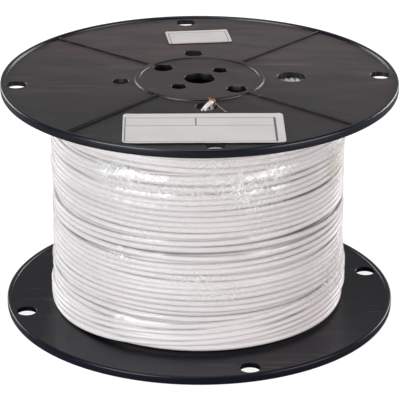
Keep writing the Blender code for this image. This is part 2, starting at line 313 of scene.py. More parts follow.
def white_jacket(name, shade):
    """Smooth white vinyl: each turn its own warmth, with painted shade darkening the hollows between and
    under the turns; a shade below 1 gives a darkened copy.
    """
    material, n, shader, place = new_material(name)

    def tone(*colour):
        return (*(part * shade for part in colour), 1)

    band = n.mapping(place, scale=(5.0, 5.0, 150.0))
    turn_tone = n.blots(band, 1.0, 0.35, 0.65, detail=2.0)
    cloud = n.blots(place, 14.0, 0.38, 0.66)
    tint = n.mix(turn_tone, tone(0.80, 0.775, 0.78), tone(0.71, 0.685, 0.695))
    tint = n.mix(n.times(cloud, 0.35), tint, tone(0.77, 0.70, 0.71))
    grime = n.blots(place, 260.0, 0.60, 0.78, detail=4.0, roughness=0.65)
    tint = n.mix(n.times(grime, 0.22), tint, tone(0.42, 0.40, 0.39))
    # Painted shade: the jacket darkens where it lies further in than the winding's outside, between and
    # under the turns.
    reach = from_axis(n, place)
    painted_crevice_shade = n.times(n.ramp(reach, WOUND_RADIUS - 0.0040, WOUND_RADIUS - 0.0021, 1.0, 0.0),
                   n.ramp(reach, WOUND_RADIUS - 0.022, WOUND_RADIUS - 0.020, 0.0, 0.68))
    n.put(shader["Base Color"], n.mix(painted_crevice_shade, tint, tone(0.22, 0.20, 0.21)))
    n.put(shader["Roughness"], n.blots(place, 90.0, 0.3, 0.7, 0.34, 0.46))
    wave = n.noise(place, 170.0, detail=2.0)
    n.put(shader["Normal"], n.bump(wave, 0.00022, 0.35))
    return material


def film_patches(n, place):
    """Where the film is creased, and where it lies as a white veil that is partly painted sheen:
    soft-edged blots.
    """
    masks = [None, None]
    ragged = n.times(n.noise(place, 60.0), 1.3)
    for azimuth, height, wide, tall, *strengths in FILM_PLACES:
        x, y = polar(WOUND_RADIUS, azimuth)
        near = n.mapping(place, scale=(1 / wide, 1 / wide, 1 / tall),
                         move=(-x / wide, -y / wide, -height / tall))
        blot = n.ramp(n.plus(n.distance(near), ragged), 0.80, 1.95, 1.0, 0.0)
        for kind, strength in enumerate(strengths):
            if strength > 0:
                part = n.times(blot, strength)
                masks[kind] = part if masks[kind] is None else n.math("MAXIMUM", masks[kind], part)
    return masks


def clear_film():
    """Clear stretch film: almost unseen where it lies taut, whitish where it is crumpled, with painted
    sheen in its veils and painted glints along its crease ridges.
    """
    material, n, shader, place = new_material("clear_film")
    creased, veil_and_painted_sheen = film_patches(n, place)
    x, y = polar(WOUND_RADIUS, YELLOWED_SPOT[0])
    from_spot = n.distance(place, (x, y, YELLOWED_SPOT[1]))
    yellowed = n.ramp(from_spot, 0.004, YELLOWED_SPOT[2], 0.8, 0.0)
    n.put(shader["Base Color"], n.mix(yellowed, (0.99, 0.99, 0.99, 1), (0.95, 0.86, 0.66, 1)))
    stretched = n.mapping(place, scale=(1.0, 1.0, 1.7), turn=(20, 12, 0))
    coarse = n.noise(stretched, 120.0, detail=2.0, distortion=1.1)
    fine = n.noise(place, 380.0, detail=1.0, distortion=0.5)
    ridge = n.math("ABSOLUTE", n.math("SUBTRACT", coarse, 0.5))
    small_ridge = n.math("ABSOLUTE", n.math("SUBTRACT", fine, 0.5))
    crease = n.plus(n.times(ridge, 2.0), n.times(small_ridge, 0.8))
    streaks = n.mapping(place, scale=(16.0, 16.0, 210.0), turn=(7, -5, 0))
    pulled = n.noise(streaks, 1.0, detail=2.0)
    pull_mask = n.blots(place, 24.0, 0.52, 0.66, detail=2.0)
    pull_line = n.times(n.ramp(pulled, 0.60, 0.70), pull_mask)
    cloudy = n.blots(place, 85.0, 0.3, 0.7, 0.55, 1.0)
    drift = n.noise(n.mapping(place, scale=(10.0, 10.0, 75.0), turn=(4, 3, 0)), 1.0)
    haze = n.ramp(drift, 0.44, 0.68, 0.02, 0.22)
    # The white veil is partly painted sheen.
    alpha = n.math("MULTIPLY_ADD", n.times(veil_and_painted_sheen, cloudy), 0.72, haze)
    alpha = n.math("MULTIPLY_ADD", creased, 0.30, alpha)
    # Painted glints: white streaks along the crease ridges.
    painted_crease_glints = n.times(n.ramp(ridge, 0.0, 0.075, 1.0, 0.0), creased)
    alpha = n.plus(alpha, n.times(painted_crease_glints, 0.75))
    alpha = n.plus(alpha, n.times(pull_line, 0.40), clamp=True)
    n.put(shader["Alpha"], alpha)
    satin = n.math("MULTIPLY_ADD", veil_and_painted_sheen, 0.40, n.ramp(coarse, 0.3, 0.7, 0.10, 0.20))
    n.put(shader["Roughness"], satin)
    height = n.times(crease, n.plus(0.08, creased))
    height = n.plus(height, n.times(pulled, 0.25))
    n.put(shader["Normal"], n.bump(height, 0.0010, 1.0))
    shader["IOR"].default_value = 1.6
    shader["Specular IOR Level"].default_value = 1.0
    shader["Coat Weight"].default_value = 1.0
    shader["Coat Roughness"].default_value = 0.06
    return material


def label_paper(name, box, rules):
    """White label stock with thin printed rules and no lettering."""
    material, n, shader, place = new_material(name)
    sheet = n.add("ShaderNodeUVMap", {"uv_map": "label"}).outputs[0]
    ink = None
    for left, right, low, high in rules:
        rule = n.add("ShaderNodeGroup", {"node_tree": box}, Map=sheet, Left=left, Right=right,
                     Low=low, High=high).outputs[0]
        ink = rule if ink is None else n.math("MAXIMUM", ink, rule)
    fibre = n.noise(place, 1300.0)
    stain = n.blots(place, 34.0, 0.45, 0.75)
    paper = n.mix(stain, (0.70, 0.672, 0.668, 1), (0.63, 0.602, 0.598, 1))
    ink = n.times(ink, n.ramp(fibre, 0.32, 0.5, 0.62, 0.92))
    n.put(shader["Base Color"], n.mix(ink, paper, (0.045, 0.043, 0.046, 1)))
    n.put(shader["Roughness"], n.ramp(fibre, 0.3, 0.7, 0.50, 0.62))
    n.put(shader["Normal"], n.bump(fibre, 0.00003, 0.4))
    return material


def grey_board():
    """Dull grey wound board of the barrel."""
    material, n, shader, place = new_material("grey_board")
    fibre = n.noise(n.mapping(place, scale=(1, 1, 6)), 420.0, detail=4.0)
    n.put(shader["Base Color"], n.mix(fibre, (0.20, 0.18, 0.155, 1), (0.30, 0.27, 0.235, 1)))
    shader["Roughness"].default_value = 0.85
    n.put(shader["Normal"], n.bump(fibre, 0.0001, 0.5))
    return material


def copper_strand():
    """Bare copper wire, a little browned."""
    material, n, shader, place = new_material("copper_strand")
    brown = n.noise(place, 700.0, detail=2.0)
    n.put(shader["Base Color"], n.mix(brown, (0.80, 0.38, 0.20, 1), (0.48, 0.22, 0.12, 1)))
    shader["Metallic"].default_value = 1.0
    n.put(shader["Roughness"], n.ramp(brown, 0.3, 0.7, 0.25, 0.42))
    return material


def tinned_strand():
    """The thin pale wire that lies beside the cut end."""
    material, n, shader, place = new_material("tinned_strand")
    tone = n.noise(place, 500.0, detail=2.0)
    n.put(shader["Base Color"], n.mix(tone, (0.50, 0.44, 0.42, 1), (0.36, 0.32, 0.31, 1)))
    shader["Metallic"].default_value = 0.6
    shader["Roughness"].default_value = 0.4
    return material


def brown_insulation():
    """Dark red-brown insulation of one conductor."""
    material, n, shader, place = new_material("brown_insulation")
    tone = n.noise(place, 300.0, detail=2.0)
    n.put(shader["Base Color"], n.mix(tone, (0.10, 0.030, 0.022, 1), (0.16, 0.05, 0.035, 1)))
    shader["Roughness"].default_value = 0.4
    return material


# Pieces


def link_object(name, data):
    """Put an object of this mesh, path, light or camera in the scene."""
    made = bpy.data.objects.new(name, data)
    bpy.context.scene.collection.objects.link(made)
    return made


def mesh_piece(name, mesh, material, node):
    """Put a finished mesh in the scene as a piece of the reel."""
    piece = link_object(name, mesh)
    mesh.materials.clear()
    mesh.materials.append(material)
    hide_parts(node)
    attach(piece, "root")


def take_mesh(shape, name, sharp_degrees=SHARP_DEGREES):
    """The mesh of a finished shape, smooth between its sharp edges."""
    mesh = bpy.data.meshes.new(name)
    shape.to_mesh(mesh)
    shape.free()
    mesh.shade_smooth()
    mesh.set_sharp_from_angle(angle=math.radians(sharp_degrees))
    return mesh


def close_shape(shape):
    """Merge the doubles of a shape and turn its faces outwards."""
    bmesh.ops.remove_doubles(shape, verts=shape.verts, dist=MERGE_DISTANCE)
    bmesh.ops.recalc_face_normals(shape, faces=shape.faces)


def spun(outline, segments, closed=True):
    """A shape made by spinning an outline of (radius, height) points about the axis."""
    shape = bmesh.new()
    verts = [shape.verts.new((radius, 0.0, height)) for radius, height in outline]
    first = 0 if closed else 1
    edges = [shape.edges.new((verts[i - 1], verts[i])) for i in range(first, len(verts))]
    bmesh.ops.spin(shape, geom=verts + edges, cent=(0, 0, 0), axis=(0, 0, 1),
                   angle=2 * math.pi, steps=segments, use_merge=True)
    close_shape(shape)
    return shape


def rounded(outline, steps=4):
    """Round the corners of an outline of points with their fillets, where 0 keeps a corner."""
    points = []
    count = len(outline)
    for i, (x, y, radius) in enumerate(outline):
        if radius == 0:
            points.append((x, y))
            continue
        corner = Vector((x, y))
        before = Vector(outline[i - 1][:2]) - corner
        after = Vector(outline[(i + 1) % count][:2]) - corner
        half = before.angle(after) / 2
        cut = min(radius / math.tan(half), before.length * 0.49, after.length * 0.49)
        first = corner + before.normalized() * cut
        last = corner + after.normalized() * cut
        for step in range(steps + 1):
            t = step / steps
            spot = first * (1 - t) ** 2 + corner * 2 * t * (1 - t) + last * t ** 2
            points.append((spot.x, spot.y))
    return points


def flange_outline():
    """Half section of a flange: inner face at height 0, outer face up, each point's fillet last."""
    rim_inner = FLANGE_RADIUS - RIM_WIDTH
    foot = rim_inner - RIM_DRAFT
    rim_top = WEB_RIM_THICKNESS + RIM_RISE
    ring_top = WEB_HUB_THICKNESS + RING_RISE
    hub_top = WEB_HUB_THICKNESS + HUB_RISE
    return rounded([
        (ARBOR_RADIUS, 0.0, 0),
        (SEAT_INNER_RADIUS, 0.0, 0),
        (SEAT_INNER_RADIUS, SEAT_DEPTH, 0),
        (SEAT_OUTER_RADIUS, SEAT_DEPTH, 0),
        (SEAT_OUTER_RADIUS, 0.0, 0),
        (foot, 0.0, 0.0006),
        (rim_inner, -RIM_LIP, 0.0003),
        (FLANGE_RADIUS, -RIM_LIP, RIM_FILLET),
        (FLANGE_RADIUS, rim_top, RIM_FILLET),
        (rim_inner, rim_top, RIM_FILLET),
        (foot, WEB_RIM_THICKNESS, 0.0007),
        (RING_OUTER_RADIUS + RING_FOOT, web_thickness(RING_OUTER_RADIUS), 0.0004),
        (RING_OUTER_RADIUS, ring_top, 0.0009),
        (RING_INNER_RADIUS, ring_top, 0.0005),
        (RING_INNER_RADIUS - RING_FOOT, hub_top, 0.0003),
        (ARBOR_RADIUS, hub_top, 0.0004),
    ])


def hole_cutters():
    """Every hole's cutter, flared where it leaves the outer and the inner face."""
    past = 0.003
    skin = 0.00002
    cutters = bmesh.new()
    for distance, direction, radius in RIM_HOLES + START_HOLES + DRIVE_HOLES + HUB_HOLES:
        top = WEB_HUB_THICKNESS + HUB_RISE if distance < RING_INNER_RADIUS else web_thickness(distance)
        flare = radius + HOLE_CHAMFER
        outline = [(0.0, -past), (flare, -past), (flare, -skin), (radius, HOLE_CHAMFER),
                   (radius, top - HOLE_CHAMFER), (flare, top + skin), (flare, top + past),
                   (0.0, top + past)]
        part = spun(outline, HOLE_SEGMENTS, closed=False)
        bmesh.ops.translate(part, verts=part.verts, vec=(*polar(distance, direction), 0))
        cutter = take_mesh(part, "hole")
        cutters.from_mesh(cutter)
        bpy.data.meshes.remove(cutter)
    return take_mesh(cutters, "flange_holes")


def rib_bars():
    """Four radial ribs with rounded tops, sunk into the web, hub ring and rim."""
    shape = bmesh.new()
    steps = 6
    root = WEB_RIM_THICKNESS / 2
    half = RIB_WIDTH / 2
    for number in range(4):
        rotation = Matrix.Rotation(math.radians(45 + 90 * number), 4, "Z")
        rings = []
        for radius in (RING_INNER_RADIUS + RIB_SINK, FLANGE_RADIUS - RIM_WIDTH / 2):
            top = web_thickness(radius) + RIB_RISE
            section = [(-half, root), (half, root)]
            for step in range(steps + 1):
                angle = math.pi * step / steps
                section.append((half * math.cos(angle) * RIB_CROWN_WIDTH,
                                top - RIB_RISE * RIB_CROWN_RISE * (1 - math.sin(angle))))
            rings.append([shape.verts.new(rotation @ Vector((radius, y, z))) for y, z in section])
        inner, outer = rings
        for i in range(len(inner)):
            j = (i + 1) % len(inner)
            shape.faces.new((inner[i], inner[j], outer[j], outer[i]))
        shape.faces.new(inner)
        shape.faces.new(outer)
    close_shape(shape)
    return take_mesh(shape, "flange_ribs")


def plain_mesh(obj, name):
    """The evaluated object as a mesh of its own, with the object's place applied."""
    depsgraph = bpy.context.evaluated_depsgraph_get()
    mesh = bpy.data.meshes.new_from_object(obj.evaluated_get(depsgraph))
    mesh.name = name
    mesh.transform(obj.matrix_world)
    return mesh


def make_flanges(materials):
    """Both flanges from one moulding, with its ribs added and its holes cut."""
    moulding = take_mesh(spun(flange_outline(), FLANGE_SEGMENTS), "flange_body")
    body = link_object("flange_body", moulding)
    tools = [(link_object("flange_ribs", rib_bars()), "UNION"),
             (link_object("flange_holes", hole_cutters()), "DIFFERENCE")]
    for tool, operation in tools:
        modifier = body.modifiers.new(tool.name, "BOOLEAN")
        modifier.operation = operation
        modifier.solver = "EXACT"
        modifier.object = tool
    for node, (height, turn, flip) in FLANGES.items():
        mesh = plain_mesh(body, node + "_moulding")
        spin = Matrix.Rotation(math.radians(turn), 4, "Z")
        over = Matrix.Rotation(math.radians(flip), 4, "X")
        mesh.transform(Matrix.Translation((0, 0, height)) @ spin @ over)
        mesh.shade_smooth()
        mesh.set_sharp_from_angle(angle=math.radians(SHARP_DEGREES))
        mesh_piece(node + "_moulding", mesh, materials[node], node)
    for leftover in [body] + [tool for tool, _ in tools]:
        bpy.data.objects.remove(leftover, do_unlink=True)


# Cable

# Steps of the winding: columns round the reel, and cells of the skyline up its side
WIND_COLUMNS = 112
SKY_STEP = CABLE_DIAMETER / 16
# How the traverse wanders, and how far a stiff cable drops on the way to the next columns
SLOW_WANDER = 0.32 * CABLE_DIAMETER
QUICK_WANDER = 0.13 * CABLE_DIAMETER
STIFF_DROP = 0.00026
STIFF_REACH = 8
# What a stretch of cable pays: to lie high, to leave its last place, to move sideways
HIGH_PRICE = 6.0
JUMP_PRICE = 60.0
SIDEWAYS_PRICE = 0.4
DETOUR_STEPS = 28
# Layers of the winding: turns of each, and how firmly it keeps to its guide
LAYER_TURNS = (37.0, 36.3, 35.2, 3.75)
LAYER_HOLDS = (0.8, 2.0, 2.0, 3.0)
LAST_LAYER = 3
LAST_LAYER_SPAN = (0.0124, 0.0260)
LAST_LAYER_TILT = 0.0056
LAST_LAYER_LIFT = 0.0006
# How far the winding sits off the axis, and how the film presses on turns that stand out
OFF_CENTRE = 0.0009
FILM_PRESS = 0.5
MOST_PROUD = 0.0007
HOLLOW_SHARE = 0.8

# Side of the winding under its last layer: share of the traverse, and how far it stands out
WOUND_SIDE = (
    (0.190, 0.0006), (0.268, -0.0005), (0.347, -0.0006), (0.440, 0.0004), (0.500, -0.0002),
    (0.565, -0.0005), (0.605, -0.0002), (0.700, 0.0000), (0.826, 0.0002), (0.930, -0.0002),
    (1.000, 0.0000),
)
# Open gaps between bands of turns, as shares of the traverse at the front
WOUND_GAPS = (0.871, 0.780, 0.648, 0.530, 0.386, 0.307, 0.228, 0.150, 0.097, 0.038)
OPEN_GAP = 0.0032
LEAST_GAP = 0.0016
LAST_LAYER_GAP = 0.0012
BAND_WANDER = 0.95
# Share of a turn after which a gap opens, and over which it widens
GAP_START = 0.38
GAP_SLIDE = 0.24

# Rings that stand for the turns at both ends, and the core inside the open layers
END_TURN_STEPS = 96
END_TURNS_INSET = 0.0044
CORE_INSET = 0.0004

# Film: steps round and up, the fall between turns, its air gap and its folds
FILM_COLUMNS = 336
FILM_ROWS = 150
FILM_SEED = 5
FILM_SAG = 0.0000075
FILM_REACH = 14
FILM_GAP = 0.0002
FOLDS = 26
FOLD_HEIGHT = 0.00006


def cable_span():
    """Lowest and highest place of the cable's middle between the flanges."""
    return (LOW_FACE + TURN_CLEARANCE + CABLE_DIAMETER / 2,
            HIGH_FACE - TURN_CLEARANCE - CABLE_DIAMETER / 2)


def side_swell(heights):
    """How far the winding's side stands out at these heights, without its last layer."""
    shares, rises = np.array(WOUND_SIDE).T
    return np.interp(heights, LOW_FACE + shares * (HIGH_FACE - LOW_FACE), rises)


def stiff_envelope(values, drop, reach):
    """Raise points that lie far under their neighbours, as a stiff cable bridges a dip."""
    raised = values.copy()
    for shift in range(1, min(reach, len(values) - 1) + 1):
        fall = drop * shift * shift
        raised[shift:] = np.maximum(raised[shift:], values[:-shift] - fall)
        raised[:-shift] = np.maximum(raised[:-shift], values[shift:] - fall)
    return raised


def soften(values, rounds):
    """Even a run of values out between neighbours, a few rounds over."""
    for _ in range(rounds):
        padded = np.pad(values, 1, mode="edge")
        values = 0.25 * padded[:-2] + 0.5 * padded[1:-1] + 0.25 * padded[2:]
    return values


def guide_line(random, start, end, turns):
    """Where the traverse guides one layer: across the reel, with slow and quick wander."""
    steps = int(turns * WIND_COLUMNS)
    share = np.arange(steps) / steps
    wander = np.zeros(steps)
    for wave in range(1, 9):
        wander += (random.normal() * SLOW_WANDER / wave ** 0.5
                   * np.sin(2 * math.pi * (wave * 0.7 * share + random.random())))
    for _ in range(8):
        per_turn = random.uniform(0.35, 1.9)
        wander += (random.normal() * QUICK_WANDER
                   * np.sin(2 * math.pi * (per_turn * turns * share + random.random())))
    ends = np.clip(np.minimum(share, 1 - share) * 18, 0, 1)
    return start + (end - start) * share + wander * ends


def front_passes(low, high):
    """Heights at which a layer in bands passes the front, from the top down."""
    traverse = HIGH_FACE - LOW_FACE
    edges = [high + CABLE_DIAMETER / 2] + [LOW_FACE + share * traverse for share in WOUND_GAPS]
    edges.append(low - CABLE_DIAMETER / 2)
    passes = []
    for upper, lower in zip(edges, edges[1:]):
        turns = max(1, round((upper - lower) / CABLE_DIAMETER - 0.5))
        gap = min(OPEN_GAP, max(LEAST_GAP, upper - lower - turns * CABLE_DIAMETER))
        pitch = (upper - lower - gap) / turns
        passes += [upper - gap / 2 - (turn + 0.5) * pitch for turn in range(turns)]
    return np.array(passes)


def banded_guide(random, start, end, turns, first_column):
    """A layer that lies in bands: every gap opens at the back and closes there a turn later."""
    wander = guide_line(random, start, end, turns)
    steps = len(wander)
    wander -= start + (end - start) * np.arange(steps) / steps
    onward = 1 if end > start else -1
    passes = front_passes(min(start, end), max(start, end))[::-onward]
    passes = np.insert(passes, 0, passes[0] - onward * CABLE_DIAMETER)
    to_front = ((0.75 * WIND_COLUMNS - first_column) % WIND_COLUMNS) / WIND_COLUMNS
    along = 1 - to_front + np.arange(steps) / WIND_COLUMNS
    before = np.floor(along).astype(int)
    past = along - before
    here = passes[np.minimum(before, len(passes) - 1)]
    step = passes[np.minimum(before + 1, len(passes) - 1)] - here
    open_gap = onward * np.maximum(np.abs(step) - CABLE_DIAMETER, 0)
    slide = np.clip((past - GAP_START) / GAP_SLIDE, 0, 1)
    slide = slide * slide * (3 - 2 * slide)
    return here + (step - open_gap) * past + open_gap * slide + BAND_WANDER * wander


def last_layer_guide(turns, first_column):
    """The short last layer: a slanted band of turns with one gap in its middle."""
    start, end = LAST_LAYER_SPAN
    steps = int(turns * WIND_COLUMNS)
    around = np.arange(steps) / WIND_COLUMNS
    opening = np.clip((around - turns / 2 + 0.2) / 0.4, 0, 1)
    climb = (end - start - LAST_LAYER_GAP) * around / turns
    turn = 2 * math.pi * (first_column / WIND_COLUMNS + around)
    return start + climb + LAST_LAYER_GAP * opening + LAST_LAYER_TILT * np.cos(turn)


def resting_heights(skyline, chord):
    """How far out the middle of a new turn would lie over every cell of the skyline."""
    reach = len(chord) // 2
    middle = np.zeros_like(skyline)
    wide = np.pad(skyline, ((0, 0), (reach, reach)), mode="constant")
    for k, rise in enumerate(chord):
        middle = np.maximum(middle, wide[:, k:k + skyline.shape[1]] + rise)
    return middle


def raise_skyline(skyline, columns, position, middles, chord):
    """Add the outer side of the cable at these places to the skyline."""
    reach = len(chord) // 2
    for k, rise in zip(range(-reach, reach + 1), chord):
        cell = np.rint(position).astype(int) + k
        inside = (cell >= 0) & (cell < skyline.shape[1]) & (rise > 0)
        np.maximum.at(skyline, (columns[inside], cell[inside]), middles[inside] + rise)


def lowest_way(price, first):
    """Index of the cheapest offset at each step, moving two offsets a step at most."""
    length, states = price.shape
    total = price[0] + first
    back = np.zeros((length, states), int)
    moves = np.array((0, -1, 1, -2, 2))
    for i in range(1, length):
        wide = np.pad(total, 2, constant_values=1e9)
        options = np.array([wide[2 + m:2 + m + states] + SIDEWAYS_PRICE * m * m for m in moves])
        best = options.argmin(axis=0)
        total = price[i] + options.min(axis=0)
        back[i] = moves[best]
    state = int(total.argmin())
    way = np.zeros(length, int)
    for i in range(length - 1, -1, -1):
        way[i] = state
        state = min(max(state + back[i, state], 0), states - 1)
    return way


def wind_cable():
    """Lay the cable turn on turn: rows of (column, height, radius, layer), and the skyline.

    Each stretch takes the lowest way over the turns that are there, close to where the
    traverse guides it, and is too stiff to follow every dip.
    """
    random = np.random.default_rng(CABLE_SEED)
    diameter = CABLE_DIAMETER
    low, high = cable_span()
    cells = int(round((high - low + diameter) / SKY_STEP)) + 1
    heights = low - diameter / 2 + SKY_STEP * np.arange(cells)
    base = WOUND_RADIUS - 3 * diameter
    skyline = np.full((WIND_COLUMNS, cells), base)
    reach = round(diameter / 2 / SKY_STEP)
    spans = SKY_STEP * np.arange(-reach, reach + 1)
    chord = np.sqrt(np.maximum(0, (diameter / 2) ** 2 - spans ** 2))
    offsets = np.arange(-DETOUR_STEPS, DETOUR_STEPS + 1) * SKY_STEP / 2
    rows = []
    spot = high
    for number, (turns, hold) in enumerate(zip(LAYER_TURNS, LAYER_HOLDS)):
        start, end = (low, high) if number % 2 else (high, low)
        first_column = len(rows) % WIND_COLUMNS
        if number == LAST_LAYER:
            guide = last_layer_guide(turns, first_column)
        elif number > 0:
            guide = banded_guide(random, start, end, turns, first_column)
        else:
            guide = guide_line(random, start, end, turns)
        steps = len(guide)
        place = 0
        while place < steps:
            length = min(int(random.integers(WIND_COLUMNS // 2, WIND_COLUMNS)), steps - place)
            columns = (len(rows) + np.arange(length)) % WIND_COLUMNS
            middle = resting_heights(skyline, chord)

            def resting(position):
                left = np.clip(position.astype(int), 0, cells - 2)
                part = position - left
                over = columns if position.ndim == 1 else columns[:, None]
                return middle[over, left] * (1 - part) + middle[over, left + 1] * part

            choice = np.clip(guide[place:place + length, None] + offsets, low, high)
            price = (HIGH_PRICE * (resting((choice - heights[0]) / SKY_STEP) - base) / diameter
                     + hold * (offsets / diameter) ** 2)
            first = JUMP_PRICE * ((choice[0] - spot) / (diameter * 0.1)) ** 2
            way = lowest_way(price, first)
            track = choice[np.arange(length), way]
            track = soften(np.concatenate([[spot] * 4, track]), 4)[4:]
            position = (track - heights[0]) / SKY_STEP
            rest = stiff_envelope(resting(position), STIFF_DROP, STIFF_REACH)
            raise_skyline(skyline, columns, position, rest, chord)
            rows.extend(zip(columns, track, rest, [number] * length))
            spot = track[-1]
            place += length
    rows = np.array(rows)
    rows[:, 1] = soften(rows[:, 1], 3)
    rows[:, 2] = soften(rows[:, 2], 4)
    proud = rows[:, 2] - np.median(rows[rows[:, 3] == LAST_LAYER - 1][:, 2])
    held_in = MOST_PROUD * np.tanh(proud * FILM_PRESS / MOST_PROUD)
    pressed = np.where(proud > 0, held_in, proud * HOLLOW_SHARE)
    pressed = np.where(rows[:, 3] == LAST_LAYER, pressed + LAST_LAYER_LIFT, pressed)
    around = rows[:, 0] * 2 * math.pi / WIND_COLUMNS
    rows[:, 2] = (WOUND_RADIUS - diameter / 2 + pressed + side_swell(rows[:, 1])
                  - OFF_CENTRE * np.cos(around))
    rows[:, 2] = soften(rows[:, 2], 4)
    skyline = np.full((WIND_COLUMNS, cells), WOUND_RADIUS - 2 * diameter)
    raise_skyline(skyline, rows[:, 0].astype(int), (rows[:, 1] - heights[0]) / SKY_STEP,
                  rows[:, 2], chord)
    return rows, skyline, heights


def cable_tube_tree():
    """Geometry nodes for a round tube along a path, with its size and material as inputs."""
    tree = bpy.data.node_groups.new("cable_tube", "GeometryNodeTree")
    for label, kind in (("Geometry", "Geometry"), ("Cable diameter", "Float"), ("Sides", "Int"),
                        ("Jacket", "Material")):
        tree.interface.new_socket(label, in_out="INPUT", socket_type="NodeSocket" + kind)
    tree.interface.new_socket("Geometry", in_out="OUTPUT", socket_type="NodeSocketGeometry")
    n = Nodes(tree)
    given = n.add("NodeGroupInput").outputs
    ring = n.add("GeometryNodeCurvePrimitiveCircle", Resolution=given["Sides"],
                 Radius=n.times(given["Cable diameter"], 0.5))
    tube = n.add("GeometryNodeCurveToMesh", Curve=given["Geometry"],
                 Profile_Curve=ring.outputs["Curve"], Fill_Caps=True)
    smooth = n.add("GeometryNodeSetShadeSmooth", Geometry=tube.outputs["Mesh"])
    real = n.add("GeometryNodeRealizeInstances", Geometry=smooth.outputs["Geometry"])
    dress = n.add("GeometryNodeSetMaterial", Geometry=real.outputs["Geometry"],
                  Material=given["Jacket"])
    n.put(n.add("NodeGroupOutput").inputs["Geometry"], dress.outputs["Geometry"])
    return tree


def tube_piece(tree, name, node, paths, material, diameter, sides):
    """Run the tube tree over paths given as (points, closed), as one piece."""
    curve = bpy.data.curves.new(name, "CURVE")
    curve.dimensions = "3D"
    for points, closed in paths:
        spline = curve.splines.new("POLY")
        spline.points.add(len(points) - 1)
        flat = np.ones((len(points), 4))
        flat[:, :3] = points
        spline.points.foreach_set("co", flat.ravel())
        spline.use_cyclic_u = closed
    path = link_object(name + "_path", curve)
    modifier = path.modifiers.new("cable_tube", "NODES")
    modifier.node_group = tree
    given = {"Cable diameter": float(diameter), "Sides": int(sides), "Jacket": material}
    for item in tree.interface.items_tree:
        if item.in_out == "INPUT" and item.name in given:
            modifier[item.identifier] = given[item.name]
    mesh = plain_mesh(path, name)
    bpy.data.objects.remove(path, do_unlink=True)
    mesh_piece(name, mesh, material, node)


def make_cable(tube, jacket, painted_shade_jacket):
    """The turns that are seen, those at the winding's ends, and a plain core under them in a darkened
    jacket that is painted shade.
    """
    rows, skyline, heights = wind_cable()
    angles = rows[:, 0] * 2 * math.pi / WIND_COLUMNS
    points = np.stack([rows[:, 2] * np.cos(angles), rows[:, 2] * np.sin(angles), rows[:, 1]], axis=1)
    outer = rows[:, 3] >= 2
    under = rows[:, 3] == 1
    low, high = cable_span()
    inner = BARREL_RADIUS + TURN_CLEARANCE
    first = inner + CABLE_DIAMETER / 2
    count = int((WOUND_RADIUS - END_TURNS_INSET - first) / CABLE_DIAMETER) + 1
    turn = np.arange(END_TURN_STEPS) * 2 * math.pi / END_TURN_STEPS
    rings = []
    for height in (low, high):
        for number in range(count):
            radius = first + number * CABLE_DIAMETER
            level = np.full(END_TURN_STEPS, height)
            rings.append((np.stack([radius * np.cos(turn), radius * np.sin(turn), level], axis=1), True))
    for name, paths, sides in (("cable_outer_turns", [(points[outer], False)], 10),
                               ("cable_under_turns", [(points[under], False)], 8),
                               ("cable_end_turns", rings, 8)):
        tube_piece(tube, name, "cable_winding", paths, jacket, CABLE_DIAMETER, sides)
    # The core wears the darkened jacket: painted shade inside the winding.
    core = float(rows[under][:, 2].min()) - CORE_INSET
    outline = [(inner, low), (core, low), (core, high), (inner, high)]
    mesh = take_mesh(spun(outline, END_TURN_STEPS), "cable_inner_layers")
    mesh_piece("cable_inner_layers", mesh, painted_shade_jacket, "cable_winding")
    return skyline, heights


def make_film(skyline, heights, material):
    """Film bridging the grooves between turns, crumpled here and there."""
    levels = np.linspace(FILM_LOW, FILM_HIGH, FILM_ROWS)
    sky = skyline.copy()
    for shift in range(1, FILM_REACH):
        drop = FILM_SAG * shift * shift
        sky[:, shift:] = np.maximum(sky[:, shift:], skyline[:, :-shift] - drop)
        sky[:, :-shift] = np.maximum(sky[:, :-shift], skyline[:, shift:] - drop)
    for _ in range(6):
        sky = 0.25 * np.roll(sky, 1, axis=0) + 0.5 * sky + 0.25 * np.roll(sky, -1, axis=0)
    random = np.random.default_rng(FILM_SEED)
    turn = np.arange(FILM_COLUMNS) * 2 * math.pi / FILM_COLUMNS
    at = np.arange(FILM_COLUMNS) * WIND_COLUMNS / FILM_COLUMNS
    lower = at.astype(int) % WIND_COLUMNS
    upper = (lower + 1) % WIND_COLUMNS
    part = (at - at.astype(int))[:, None]
    cell = np.clip((levels - heights[0]) / SKY_STEP, 0, len(heights) - 1).astype(int)
    radius = sky[lower][:, cell] * (1 - part) + sky[upper][:, cell] * part
    wrinkle = np.zeros_like(radius)
    for _ in range(FOLDS):
        tilt = random.normal() * 40
        count = random.integers(20, 90)
        phase = random.random() * 2 * math.pi
        wave = np.sin(count * turn[:, None] + tilt * levels[None, :] * 2 * math.pi + phase)
        wrinkle += np.maximum(0, wave) ** 3 * random.random() * FOLD_HEIGHT
    radius = radius + FILM_GAP + wrinkle
    x = radius * np.cos(turn)[:, None]
    y = radius * np.sin(turn)[:, None]
    shape = bmesh.new()
    verts = [[shape.verts.new((x[i, j], y[i, j], levels[j])) for j in range(FILM_ROWS)]
             for i in range(FILM_COLUMNS)]
    for i, line in enumerate(verts):
        following = verts[(i + 1) % FILM_COLUMNS]
        for j in range(FILM_ROWS - 1):
            shape.faces.new((line[j], following[j], following[j + 1], line[j + 1]))
    film = take_mesh(shape, "film_wrap", 180.0)
    mesh_piece("film_wrap", film, material, "stretch_film")


# Labels and tail

LABEL_THICKNESS = 0.00014
LABEL_GAP = 0.00008
LABEL_COLUMNS = 56
LABEL_ROWS = 28
LABEL_CURL = 0.012
